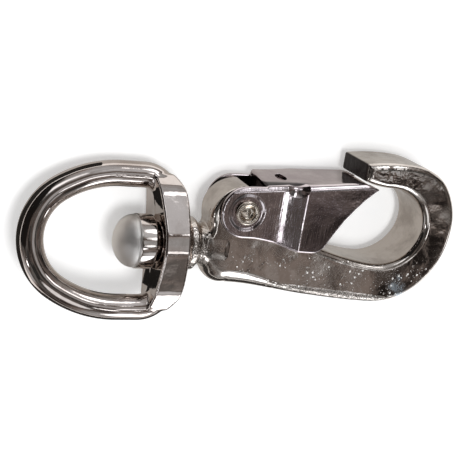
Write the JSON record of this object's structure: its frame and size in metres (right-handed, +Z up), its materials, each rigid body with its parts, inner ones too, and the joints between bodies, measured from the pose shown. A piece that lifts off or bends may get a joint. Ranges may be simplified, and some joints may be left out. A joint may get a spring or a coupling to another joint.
{
  "type": "swivel snap hook",
  "caption": "Cast swivel snap hook with a strap eye that turns on a headed pin, and a folded sheet gate on a tubular rivet that a torsion spring closes against the nose.",
  "frame": {"origin": "on the hook's lower side face, below the end wall of the bowl and on the swivel axis in plan", "axes": "+X along the swivel axis from the eye to the bowl, +Y across the hook towards its mouth, +Z up from the side face that the hook lies on"},
  "size_m": [0.1127, 0.0436, 0.019],
  "materials": {
    "cast_nickel": "bright nickel plate on a slightly pitted casting",
    "turned_nickel": "bright nickel plate on a turned pin",
    "eye_nickel": "bright nickel plate, polished",
    "sheet_nickel": "bright nickel plate on sheet steel, faint vertical brushing",
    "rivet_nickel": "bright nickel plate, slightly warm",
    "spring_wire": "drawn spring wire"
  },
  "bodies": {
    "hook": {"hook_body": "cast_nickel", "swivel_pin": "turned_nickel", "gate_rivet": "rivet_nickel", "gate_spring": "spring_wire"},
    "eye": {"swivel_eye": "eye_nickel"},
    "gate": {"gate": "sheet_nickel"}
  },
  "joints": [
    {"name": "eye_swivel", "type": "hinge", "parent": "hook", "child": "eye", "pos_m": [-0.0693, 0, 0.0075], "axis": [1, 0, 0], "continuous": true},
    {"name": "gate_hinge", "type": "hinge", "parent": "hook", "child": "gate", "pos_m": [-0.0513, 0.0102, 0.0075], "axis": [0, 0, 1], "range_deg": [-28, 0], "stiffness_Nm_per_rad": 0.3, "springref_deg": 20.05, "deforming": ["gate_spring"]}
  ]
}
